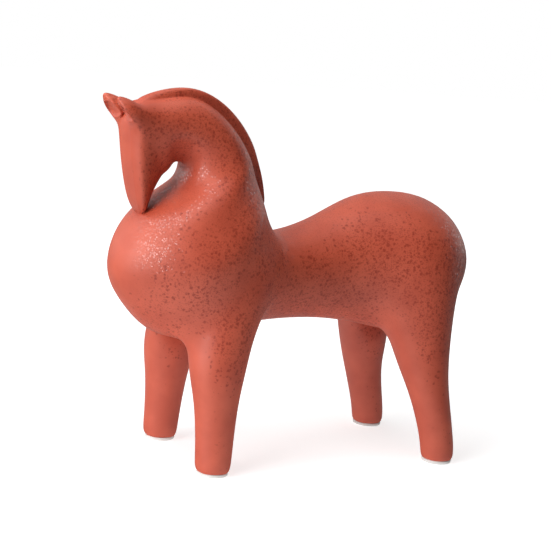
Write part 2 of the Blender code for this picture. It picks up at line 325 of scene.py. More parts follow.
@dataclass
class HorseForm:
    """The clay skin: trunk, neck and head in one tube, with legs, ears and mane drawn out of it."""

    rump_end: Station = Station((0.1133, 0.1215), (0.1116, 0.1045), 0.0110)
    rump: Station = Station((0.1050, 0.1370), (0.1020, 0.0905), 0.0280)
    haunch_rear: Station = Station((0.0890, 0.1500), (0.0888, 0.0770), 0.0405)
    haunch: Station = Station((0.0643, 0.1542), (0.0736, 0.0720), 0.0438)
    loin: Station = Station((0.0386, 0.1500), (0.0521, 0.0750), 0.0335)
    waist: Station = Station((0.0141, 0.1381), (0.0121, 0.0799), 0.0258)
    girth: Station = Station((-0.0059, 0.1305), (-0.0400, 0.0770), 0.0304)
    shoulder: Station = Station((-0.0169, 0.1317), (-0.0585, 0.0729), 0.0388)
    withers: Station = Station((-0.0234, 0.1415), (-0.0808, 0.0720), 0.0422, 1.0, 1.05, mane=0.0034)
    breast: Station = Station((-0.0264, 0.1490), (-0.1015, 0.0886), 0.0440, 1.0, 1.12, mane=0.0044)
    chest: Station = Station((-0.0289, 0.1560), (-0.1108, 0.1080), 0.0395, 1.0, 1.12, mane=0.0053)
    chest_top: Station = Station((-0.0314, 0.1620), (-0.1043, 0.1315), 0.0330, 1.0, 1.12, mane=0.0058)
    neck_base: Station = Station(
        (-0.0349, 0.1690), (-0.0872, 0.1466), 0.0264, 0.95, 1.06, mane=0.0067, taper=0.14)
    neck: Station = Station(
        (-0.0404, 0.1785), (-0.0766, 0.1553), 0.0225, 0.90, 0.94, mane=0.0073, taper=0.18)
    neck_top: Station = Station(
        (-0.0529, 0.1925), (-0.0726, 0.1630), 0.0203, 0.87, 0.90, mane=0.0069, taper=0.10)
    crest: Station = Station((-0.0719, 0.2024), (-0.0744, 0.1668), 0.0182, 0.85, 1.35, mane=0.0049)
    poll: Station = Station(
        (-0.0915, 0.2012), (-0.0788, 0.1670), 0.0160, 0.85, 1.45, mane=0.0042, taper=0.12)
    ear_rear: Station = Station(
        (-0.1015, 0.1990), (-0.0814, 0.1641), 0.0147, 0.82, 1.20, mane=0.0003, taper=0.22)
    brow: Station = Station((-0.1079, 0.1932), (-0.0837, 0.1614), 0.0134, 0.85, 1.10, taper=0.36)
    ear_front: Station = Station((-0.1098, 0.1856), (-0.0862, 0.1587), 0.0127, 0.85, 1.10, taper=0.38)
    face: Station = Station((-0.1075, 0.1680), (-0.0897, 0.1520), 0.0119, 0.84, 1.10, taper=0.36)
    muzzle: Station = Station((-0.1025, 0.1472), (-0.0926, 0.1452), 0.0098, 0.84, 1.05, taper=0.30)
    lips: Station = Station((-0.0978, 0.1384), (-0.0956, 0.1378), 0.0056, 0.80, 0.95)

    column_angles: tuple[float, ...] = (0.0, 30.0, 60.0, 90.0, 120.0, 150.0)
    leg_column: int = 2
    ear_column: int = 5
    smooth_level: int = 3

    front_leg: tuple[Section, ...] = (
        Section((0.0308, -0.0571, 0.0600), 0.0154, 1.09),
        Section((0.0324, -0.0562, 0.0400), 0.0117),
        Section((0.0347, -0.0560, 0.0100), 0.0100),
        Section((0.0347, -0.0560, 0.0003), 0.0100),
    )
    hind_leg: tuple[Section, ...] = (
        Section((0.0320, 0.0763, 0.0600), 0.0157),
        Section((0.0380, 0.0813, 0.0400), 0.0114),
        Section((0.0390, 0.0907, 0.0100), 0.0098),
        Section((0.0390, 0.0907, 0.0003), 0.0098),
    )

    mane_half_width: float = 0.0034
    mane_base_crease: float = 0.70
    mane_edge_crease: float = 0.0

    ear_base: Point = (0.0094, -0.1064, 0.1912)
    ear_lean: float = math.radians(52.0)
    ear_turn: float = math.radians(8.0)
    ear_sections: tuple[tuple[float, float, float], ...] = (
        (0.0026, 0.0066, 0.0056),
        (0.0076, 0.0064, 0.0045),
        (0.0127, 0.0040, 0.0028),
        (0.0158, 0.0011, 0.0009),
    )
    ear_rim: float = 0.0011
    ear_hollow: float = 0.0030
    ear_rim_crease: float = 0.45
    ear_corner: tuple[float, float] = (0.90, 0.60)

    @property
    def stations(self) -> list[Station]:
        """All sections from the rump to the lips."""
        return [value for value in vars(self).values() if isinstance(value, Station)]

    @property
    def columns(self) -> int:
        """Number of cage points on one side, the belly and back lines included."""
        return len(self.column_angles) + 2

    def row_of(self, station: Station) -> int:
        """Returns the place of a section in the row of sections."""
        return self.stations.index(station)

    def ring(self, station: Station) -> np.ndarray:
        """Works out the points of one section on the finished surface.

        Args:
            station: The section.

        Returns:
            Points of the whole ring, from the belly line up the left side and down the right.
        """
        back, belly = np.array(station.back), np.array(station.belly)
        middle, arm = (back + belly) / 2.0, (back - belly) / 2.0
        strip_angle = math.asin((station.strip / station.half_width) ** (1.0 / station.roundness))
        angles = [math.radians(angle) for angle in self.column_angles]
        angles += [math.pi - strip_angle, math.pi]
        left = []
        for angle in angles:
            power = station.roundness if angle > math.pi / 2.0 else station.belly_roundness
            rise = math.copysign(abs(math.cos(angle)) ** power, -math.cos(angle))
            side = station.half_width * max(math.sin(angle), 0.0) ** power
            side *= 1.0 - station.taper * math.cos(angle)
            left.append((side, *(middle + arm * rise)))
        left[0] = (0.0, *belly)
        left[-1] = (0.0, *back)
        right = [(-x, y, z) for x, y, z in reversed(left[1:-1])]
        return np.array(left + right)

    def cage_points(self) -> np.ndarray:
        """Works out the cage of the left side.

        Returns:
            Its points, by section and then from belly to back.
        """
        rings = np.array([self.ring(station) for station in self.stations])
        around = through(rings.transpose(1, 0, 2), closed=True).transpose(1, 0, 2)
        return through(around, closed=False)[:, : self.columns]

    def build(self) -> Piece:
        """Models the whole skin and smooths it.

        Returns:
            The skin, with its regions stored on its faces and its sections on its points.
        """
        skin = self.wrap_tube()
        for side in (1.0, -1.0):
            self.draw_leg(skin, self.haunch, self.hind_leg, side)
            self.draw_leg(skin, self.shoulder, self.front_leg, side)
            self.draw_ear(skin, side)
        self.draw_mane(skin)
        Bench(skin).smooth(self.smooth_level)
        return skin

    def wrap_tube(self) -> Piece:
        """Wraps a grid over the left side, mirrors it to the right and closes its two ends.

        Returns:
            The tube as a coarse cage.
        """
        points = self.cage_points()
        rows, columns = points.shape[:2]
        bpy.ops.object.select_all(action="DESELECT")
        bpy.ops.mesh.primitive_grid_add(x_subdivisions=columns - 1, y_subdivisions=rows - 1, size=1.0)
        skin = bpy.context.active_object
        skin.name = "clay_skin"
        mesh = skin.data
        mesh.vertices.foreach_set("co", points.reshape(-1))
        labels = np.indices((rows, columns)).reshape(2, -1)
        for name, values in (("row", labels[0]), ("column", labels[1])):
            mesh.attributes.new(name, "INT", "POINT").data.foreach_set("value", values.astype(np.int32))
        stations = labels[0].astype(np.float32)
        mesh.attributes.new("station", "FLOAT", "POINT").data.foreach_set("value", stations)
        mesh.attributes.new("drawn", "INT", "POINT")
        mesh.attributes.new("region", "INT", "FACE")
        Bench(skin).apply("MIRROR", use_axis=(True, False, False), merge_threshold=MERGE_DISTANCE)
        Bench(skin).edit("EDGE")
        bpy.ops.mesh.select_non_manifold(extend=False)
        bpy.ops.mesh.fill_holes(sides=0)
        Bench.leave()
        Bench(skin).face_out()
        return skin

    @staticmethod
    def labels(bm: EditMesh) -> list[bmesh.types.BMLayerItem]:
        """Returns the layers of the points' section, place in the section and label of what drew them."""
        return [bm.verts.layers.int[name] for name in ("row", "column", "drawn")]

    def pick_faces(self, skin: Piece, test: Callable[[int, int, int, float], bool]) -> EditMesh:
        """Opens the cage in edit mode and selects the four-sided faces whose points all pass a test.

        Args:
            skin: The cage.
            test: Says if a point passes, from its section, its place there, its label and its x.

        Returns:
            The edit mesh.
        """
        bm = Bench(skin).edit()
        rows, columns, drawn = self.labels(bm)
        for face in bm.faces:
            passed = (test(point[rows], point[columns], point[drawn], point.co.x) for point in face.verts)
            face.select_set(len(face.verts) == 4 and all(passed))
        bmesh.update_edit_mesh(skin.data)
        return bm

    def pick_patch(self, skin: Piece, row: int, column: int, side: float) -> None:
        """Selects the four faces of the tube round the cage point of one row, column and side."""
        self.pick_faces(skin, lambda at_row, at_column, label, x: (
            abs(at_row - row) <= 1 and abs(at_column - column) <= 1 and label == 0 and x * side > 0.0))

    def draw_on(self, skin: Piece, row: int, column: int, label: int
                ) -> Iterator[tuple[bmesh.types.BMVert, int, int]]:
        """Extrudes the selected faces by one step.

        Args:
            skin: The cage, in edit mode.
            row: Section to count from.
            column: Place in a section to count from.
            label: Label of the new points.

        Yields:
            Each new point, with its columns and its rows off those.
        """
        bpy.ops.mesh.extrude_region_move()
        bm = bmesh.from_edit_mesh(skin.data)
        rows, columns, drawn = self.labels(bm)
        for point in (point for point in bm.verts if point.select):
            point[drawn] = label
            yield point, point[columns] - column, point[rows] - row
        bmesh.update_edit_mesh(skin.data)

    def draw_leg(self, skin: Piece, station: Station, limb: tuple[Section, ...], side: float) -> None:
        """Extrudes a leg through its sections from the low side of the trunk.

        Args:
            skin: The cage.
            station: Section of the trunk that the leg hangs from.
            limb: Sections of the leg, from the trunk down.
            side: 1 for the left leg, -1 for the right.
        """
        row = self.row_of(station)
        self.pick_patch(skin, row, self.leg_column, side)
        for label, section in enumerate(limb, start=Region.BODY.value + 1):
            x, y, z = section.centre
            for point, across, along in self.draw_on(skin, row, self.leg_column, label):
                way = Vector((across * side, -along, 0.0)).normalized()
                reach = way * section.radius * swell(PATCH_POINTS)
                reach.y *= section.stretch
                point.co = Vector((x * side, y, z)) + reach
        Bench.leave()

    def draw_ear(self, skin: Piece, side: float) -> None:
        """Extrudes an ear from the brow, narrows it to its tip and hollows its front.

        Args:
            skin: The cage.
            side: 1 for the left ear, -1 for the right.
        """
        row = self.row_of(self.brow)
        ear = Region.LEFT_EAR if side > 0.0 else Region.RIGHT_EAR
        tip_way = Vector((0.0, -math.sin(self.ear_lean), math.cos(self.ear_lean)))
        front = Vector((0.0, -math.cos(self.ear_lean), -math.sin(self.ear_lean)))
        front = Matrix.Rotation(-side * self.ear_turn, 3, tip_way) @ front
        outer = tip_way.cross(front) * -side
        outer = outer if outer.x * side > 0.0 else -outer
        base = Vector((self.ear_base[0] * side, *self.ear_base[1:]))
        self.pick_patch(skin, row, self.ear_column, side)
        for label, (rise, half_width, half_depth) in enumerate(self.ear_sections, start=ear.value + 1):
            for point, across, along in self.draw_on(skin, row, self.ear_column, label):
                way = Vector((-across, along))
                if along > 0 and across:
                    way = Vector((math.copysign(self.ear_corner[0], -across), self.ear_corner[1]))
                elif way.length > 0.0:
                    way.normalize()
                way *= swell(PATCH_POINTS)
                reach = outer * way.x * half_width + front * way.y * half_depth
                point.co = base + tip_way * rise + reach
        Bench.leave()
        self.mark_regions(skin)
        self.hollow_ear(skin, row, ear, front)

    def mark_regions(self, skin: Piece) -> None:
        """Stores on each new face the region that its points were drawn for.

        Args:
            skin: The cage.
        """
        bm = Bench(skin).edit()
        layer = bm.faces.layers.int["region"]
        drawn = self.labels(bm)[-1]
        for face in bm.faces:
            if face[layer] == Region.BODY.value:
                label = max(point[drawn] for point in face.verts)
                face[layer] = max(region.value for region in Region if region.value <= label)
        bmesh.update_edit_mesh(skin.data)
        Bench.leave()

    def hollow_ear(self, skin: Piece, row: int, ear: Region, front: Vector) -> None:
        """Insets the front of an ear and pushes it in.

        Args:
            skin: The cage.
            row: Section that the ear grows from.
            ear: The ear's region.
            front: The way that the ear's front faces.
        """
        steps = range(ear.value + 1, ear.value + len(self.ear_sections))
        self.pick_faces(skin, lambda at_row, _, label, x: at_row == row + 1 and label in steps)
        bpy.ops.mesh.inset(thickness=self.ear_rim, depth=0.0)
        bpy.ops.transform.translate(value=tuple(front * -self.ear_hollow))
        bm = bmesh.from_edit_mesh(skin.data)
        crease = self.creases(bm)
        inside = {face for face in bm.faces if face.select}
        rim_points = {
            edge.other_vert(point) for face in inside for point in face.verts
            for edge in point.link_edges if not edge.select}
        for edge in bm.edges:
            if rim_points.issuperset(edge.verts):
                edge[crease] = self.ear_rim_crease
        bmesh.update_edit_mesh(skin.data)
        Bench.leave()

    @staticmethod
    def creases(bm: EditMesh) -> bmesh.types.BMLayerItem:
        """Returns the layer of the edges' creases, and makes it if there is none."""
        layers = bm.edges.layers.float
        return layers.get("crease_edge") or layers.new("crease_edge")

    @staticmethod
    def rim(bm: EditMesh) -> list[bmesh.types.BMEdge]:
        """Returns the edges round the selected faces."""
        edges = (edge for edge in bm.edges if edge.select)
        return [edge for edge in edges if sum(face.select for face in edge.link_faces) == 1]

    def draw_mane(self, skin: Piece) -> None:
        """Extrudes the mane from the strip of faces along the back line of the neck.

        Args:
            skin: The cage.
        """
        first, last = self.row_of(self.withers), self.row_of(self.ear_rear)
        strip = self.columns - 2
        runs = np.gradient(np.array([station.back for station in self.stations]), axis=0)
        outward = np.stack([runs[:, 1], -runs[:, 0]], axis=1)
        outward /= np.linalg.norm(outward, axis=1)[:, None]
        bm = self.pick_faces(skin, lambda row, column, label, x: (
            first <= row <= last and column >= strip and label == 0))
        rows = self.labels(bm)[0]
        crease = self.creases(bm)
        for edge in self.rim(bm):
            runs_out = all(point[rows] == last for point in edge.verts)
            edge[crease] = 0.0 if runs_out else self.mane_base_crease
        bmesh.update_edit_mesh(skin.data)
        for point, column, row in self.draw_on(skin, 0, 0, Region.MANE.value + 1):
            rise = outward[row] * self.stations[row].mane
            side = math.copysign(self.mane_half_width, point.co.x) if column == strip else 0.0
            point.co = Vector((side, point.co.y + rise[0], point.co.z + rise[1]))
        bm = bmesh.from_edit_mesh(skin.data)
        crease = self.creases(bm)
        for edge in self.rim(bm):
            edge[crease] = self.mane_edge_crease
        bmesh.update_edit_mesh(skin.data)
        Bench.leave()
        self.mark_regions(skin)


@dataclass
class Castings:
    """The joints along which the clay skin is divided into the pieces it is luted together from."""

    form: HorseForm
    neck_joint: float = 0.1630
    leg_joint: float = 0.0480
    sole: float = 0.0021
    cap_corners: int = 6

    def divide(self, skin: Piece) -> dict[str, Piece]:
        """Divides the skin along the joints and closes every piece.

        Args:
            skin: The smoothed skin.

        Returns:
            The pieces by the name of the node that each stands for.
        """
        self.keep_normals(skin.data)
        pieces = {}
        trim = ((Region.MANE, "mane"), (Region.LEFT_EAR, "left_ear"), (Region.RIGHT_EAR, "right_ear"))
        for region, node in trim:
            regions = read(skin.data.attributes["region"].data, "value", kind=np.int32)
            chosen = regions == region.value
            pieces[node] = Bench(skin).part_off(chosen, f"glazed_{node}", as_grid=True)
        pieces["neck_and_head"] = self.take_neck(skin)
        Bench(skin).cut(self.centres(skin)[:, 2] < self.neck_joint, self.leg_joint)
        for foot, side, way in FEET:
            pieces[f"{foot}_leg"] = self.take_leg(skin, f"glazed_{foot}_leg", side, way)
        skin.name = skin.data.name = "glazed_torso"
        pieces["torso"] = skin
        for piece in pieces.values():
            self.settle_normals(piece)
        return pieces

    def take_neck(self, skin: Piece) -> Piece:
        """Parts the neck and head from the trunk at their level joint.

        Args:
            skin: The skin without its trim.

        Returns:
            The neck and head.
        """
        poll = self.form.row_of(self.form.poll)
        Bench(skin).cut(self.stations(skin) <= poll, self.neck_joint)
        chosen = (self.centres(skin)[:, 2] > self.neck_joint) | (self.stations(skin) > poll)
        return Bench(skin).part_off(chosen, "glazed_neck_and_head", as_grid=False)

    def take_leg(self, skin: Piece, name: str, side: float, way: float) -> Piece:
        """Parts one leg from the trunk and trims its sole flat.

        Args:
            skin: The trunk with its legs.
            name: The leg's name.
            side: 1 for the left side, -1 for the right.
            way: 1 for the hind end, -1 for the front.

        Returns:
            The leg.
        """
        middle = self.centres(skin)
        chosen = (middle[:, 2] < self.leg_joint) & (middle[:, 0] * side > 0.0) & (middle[:, 1] * way > 0.0)
        leg = Bench(skin).part_off(chosen, name, as_grid=False)
        Bench(leg).cut(np.ones(len(leg.data.polygons), bool), self.sole, clear_below=True)
        Bench(leg).close(as_grid=False)
        return leg

    @staticmethod
    def centres(piece: Piece) -> np.ndarray:
        """Returns the middle of each face."""
        return read(piece.data.polygons, "center", 3)

    @staticmethod
    def corners(mesh: bpy.types.Mesh) -> tuple[np.ndarray, np.ndarray, np.ndarray]:
        """Returns the point of each face corner, and the first corner and corner count of each face."""
        return (read(mesh.loops, "vertex_index", kind=np.int32),
                read(mesh.polygons, "loop_start", kind=np.int32),
                read(mesh.polygons, "loop_total", kind=np.int32))

    @staticmethod
    def stations(piece: Piece) -> np.ndarray:
        """Works out the section that each face lies at.

        Args:
            piece: The mesh object.

        Returns:
            The sections, by face.
        """
        points, starts, totals = Castings.corners(piece.data)
        values = read(piece.data.attributes["station"].data, "value")
        return np.add.reduceat(values[points], starts) / totals

    @staticmethod
    def keep_normals(mesh: bpy.types.Mesh) -> None:
        """Stores the undivided skin's normals on its points."""
        normals = read(mesh.vertex_normals, "vector", 3).ravel()
        mesh.attributes.new("skin_normal", "FLOAT_VECTOR", "POINT").data.foreach_set("vector", normals)

    def settle_normals(self, piece: Piece) -> None:
        """Shades a piece with the undivided skin's normals, and the faces that close it flat.

        Args:
            piece: The closed piece.
        """
        mesh = piece.data
        Bench(piece).face_out()
        points, starts, totals = self.corners(mesh)
        normals = read(mesh.attributes["skin_normal"].data, "vector", 3)[points]
        blank = np.linalg.norm(normals, axis=1) < 0.5
        closing = (np.add.reduceat(blank.astype(int), starts) > 0) | (totals > self.cap_corners)
        on_cap = np.repeat(closing, totals)
        normals[on_cap] = np.repeat(read(mesh.polygons, "normal", 3), totals, axis=0)[on_cap]
        mesh.normals_split_custom_set(normals.tolist())
        for name in ("row", "column", "drawn", "region", "station", "skin_normal", "crease_edge"):
            if name in mesh.attributes:
                mesh.attributes.remove(mesh.attributes[name])


@dataclass
class Tail:
    """The low roll of clay down the end of the rump."""

    sides: int = 8
    smooth_level: int = 3
    sections: tuple[tuple[float, float, float, float], ...] = (
        (0.1064, 0.1356, 0.0036, 0.0016),
        (0.1098, 0.1290, 0.0050, 0.0034),
        (0.1124, 0.1205, 0.0060, 0.0050),
        (0.1130, 0.1115, 0.0066, 0.0060),
        (0.1120, 0.1035, 0.0060, 0.0054),
        (0.1108, 0.0992, 0.0034, 0.0030),
    )

    def build(self) -> Piece:
        """Draws the roll from a round through its sections.

        Returns:
            The tail.
        """
        bpy.ops.object.select_all(action="DESELECT")
        bpy.ops.mesh.primitive_circle_add(vertices=self.sides, radius=1.0, fill_type="NGON")
        tail = bpy.context.active_object
        tail.name = tail.data.name = "glazed_tail"
        tail.data.attributes.new("place", "INT", "POINT").data.foreach_set("value", np.arange(self.sides))
        lines = np.array([section[:2] for section in self.sections])
        runs = np.gradient(lines, axis=0)
        runs /= np.linalg.norm(runs, axis=1)[:, None]
        Bench(tail).edit()
        bpy.ops.mesh.select_all(action="SELECT")
        for step, (y, z, half_width, half_depth) in enumerate(self.sections):
            if step:
                bpy.ops.mesh.extrude_region_move()
            bm = bmesh.from_edit_mesh(tail.data)
            place = bm.verts.layers.int["place"]
            outward = Vector((0.0, -runs[step][1], runs[step][0]))
            for point in (point for point in bm.verts if point.select):
                angle = 2.0 * math.pi * point[place] / self.sides
                reach = Vector((half_width * math.cos(angle), 0.0, 0.0))
                reach += outward * half_depth * math.sin(angle)
                point.co = Vector((0.0, y, z)) + reach * swell(self.sides)
            bmesh.update_edit_mesh(tail.data)
        Bench.leave()
        Bench(tail).smooth(self.smooth_level)
        tail.data.attributes.remove(tail.data.attributes["place"])
        return tail


@dataclass
class FootPads:
    """The four soft pads stuck under the soles."""

    form: HorseForm
    radius: float = 0.0088
    thickness: float = 0.0020
    sides: int = 64
    edge: float = 0.0005
    edge_steps: int = 3
    bulge: float = 1.012
    face_rim: float = radius / 6.0
    soft_angle: float = math.radians(40.0)

    def build(self) -> dict[str, Piece]:
        """Models one pad and copies it under every foot.

        Returns:
            The pads by the name of the node that each stands for.
        """
        first = self.model()
        pads = {}
        for foot, side, way in FEET:
            limb = self.form.hind_leg if way > 0.0 else self.form.front_leg
            x, y, _ = limb[-1].centre
            pad = first.copy()
            pad.data = first.data.copy()
            pad.name = pad.data.name = f"soft_{foot}_pad"
            bpy.context.collection.objects.link(pad)
            pad.data.transform(Matrix.Translation((x * side, y, 0.0)))
            pads[f"{foot}_pad"] = pad
        bpy.data.objects.remove(first)
        return pads

    def model(self) -> Piece:
        """Models a pad at the origin: a disc with soft edges and a slightly pressed-out side.

        Returns:
            The pad.
        """
        bpy.ops.object.select_all(action="DESELECT")
        bpy.ops.mesh.primitive_cylinder_add(
            vertices=self.sides, radius=self.radius / self.bulge, depth=self.thickness,
            location=(0.0, 0.0, self.thickness / 2.0))
        pad = bpy.context.active_object
        bpy.ops.object.transform_apply(location=True, rotation=False, scale=False)
        Bench(pad).pick("EDGE", lambda edge: self.rise(edge) < MERGE_DISTANCE)
        bpy.ops.mesh.bevel(offset=self.edge, segments=self.edge_steps, profile=0.5)
        Bench.leave()
        Bench(pad).pick("EDGE", lambda edge: self.rise(edge) > self.thickness / 3.0)
        bpy.ops.mesh.subdivide(number_cuts=1)
        bm = bmesh.from_edit_mesh(pad.data)
        for point in bm.verts:
            if abs(point.co.z - self.thickness / 2.0) < MERGE_DISTANCE:
                point.co.x *= self.bulge
                point.co.y *= self.bulge
        bmesh.update_edit_mesh(pad.data)
        Bench.leave()
        Bench(pad).pick("FACE", lambda face: abs(face.normal.z) > FACES_UP)
        bpy.ops.mesh.inset(thickness=self.face_rim, use_individual=True)
        Bench.leave()
        bpy.ops.object.shade_smooth_by_angle(angle=self.soft_angle)
        return pad

    @staticmethod
    def rise(edge: bmesh.types.BMEdge) -> float:
        """Returns how much higher one end of an edge is than the other."""
        return abs(edge.verts[0].co.z - edge.verts[1].co.z)


class Sheet:
    """Adds and links the nodes of one node tree."""

    def __init__(self, tree: bpy.types.NodeTree) -> None:
        """Takes the tree to work on."""
        self.tree = tree

    @staticmethod
    def of_material(name: str) -> tuple[bpy.types.Material, Sheet, bpy.types.Node]:
        """Makes a material.

        Args:
            name: Its name.

        Returns:
            The material, its sheet and its surface shader.
        """
        material = bpy.data.materials.new(name)
        material.use_nodes = True
        return material, Sheet(material.node_tree), material.node_tree.nodes["Principled BSDF"]

    def feed(self, node: bpy.types.Node, inputs: Inputs) -> None:
        """Links or sets inputs of a node.

        Args:
            node: The node.
            inputs: Values or source sockets by the name or number of the input.
        """
        for name, value in inputs.items():
            if isinstance(value, Socket):
                self.tree.links.new(value, node.inputs[name])
            else:
                node.inputs[name].default_value = value

    def add(self, kind: str, inputs: Inputs | None = None, **settings: object) -> bpy.types.Node:
        """Adds a node, sets it up and links what feeds it.

        Args:
            kind: Blender's name for the kind of node.
            inputs: Values or source sockets by the name or number of the input.
            **settings: Properties of the node.

        Returns:
            The node.
        """
        node = self.tree.nodes.new(kind)
        for name, value in settings.items():
            setattr(node, name, value)
        self.feed(node, inputs or {})
        return node

    def math(self, operation: str, *values: object) -> Socket:
        """Adds a sum of one kind and returns its result."""
        return self.add("ShaderNodeMath", dict(enumerate(values)), operation=operation).outputs[0]

    def times(self, first: object, *others: object) -> Socket:
        """Multiplies values.

        Args:
            first: A value or its source.
            *others: More of them.

        Returns:
            The product.
        """
        product = first
        for value in others:
            product = self.math("MULTIPLY", product, value)
        return product

    def vector(self, operation: str, *values: object, give: str = "Vector") -> Socket:
        """Adds a sum of one kind with vectors and returns its result."""
        return self.add("ShaderNodeVectorMath", dict(enumerate(values)), operation=operation).outputs[give]

    def measure(self, operation: str, *values: object) -> Socket:
        """Adds a sum with vectors whose result is a number, and returns it."""
        return self.vector(operation, *values, give="Value")

    def scaled(self, value: object, share: object) -> Socket:
        """Adds the scaling of a vector and returns it."""
        return self.add("ShaderNodeVectorMath", {0: value, "Scale": share}, operation="SCALE").outputs[0]

    def split(self, value: object) -> bpy.types.NodeOutputs:
        """Adds the splitting of a vector and returns its X, Y and Z."""
        return self.add("ShaderNodeSeparateXYZ", {0: value}).outputs

    def noise(self, place: Socket, scale: object, detail: float) -> bpy.types.NodeOutputs:
        """Adds a soft noise and returns its outputs."""
        return self.add("ShaderNodeTexNoise", {"Vector": place, "Scale": scale, "Detail": detail}).outputs

    def cells(self, place: Socket, scale: object) -> bpy.types.NodeOutputs:
        """Adds a pattern of cells and returns its outputs."""
        return self.add("ShaderNodeTexVoronoi", {"Vector": place, "Scale": scale}).outputs

    def bump(self, height: object, depth: float, strength: float) -> Socket:
        """Adds a fine relief and returns its normal."""
        inputs = {"Height": height, "Distance": depth, "Strength": strength}
        return self.add("ShaderNodeBump", inputs).outputs["Normal"]

    def ramp(self, value: object, low: float, high: float, to_low: float = 0.0, to_high: float = 1.0
             ) -> Socket:
        """Adds a soft step that carries a value from one range to another.

        Args:
            value: The value or its source.
            low: Where the step starts.
            high: Where it ends.
            to_low: Result at the start.
            to_high: Result at the end.

        Returns:
            The result.
        """
        inputs = {"Value": value, "From Min": low, "From Max": high, "To Min": to_low, "To Max": to_high}
        return self.add("ShaderNodeMapRange", inputs, interpolation_type="SMOOTHSTEP").outputs["Result"]

    def blend(self, share: object, first: object, second: object) -> Socket:
        """Adds a mix of two numbers and returns it."""
        return self.add("ShaderNodeMix", {0: share, 2: first, 3: second}).outputs[0]

    def mix(self, share: object, first: object, second: object) -> Socket:
        """Adds a mix of two colours and returns it."""
        return self.add("ShaderNodeMix", {0: share, 6: first, 7: second}, data_type="RGBA").outputs[2]


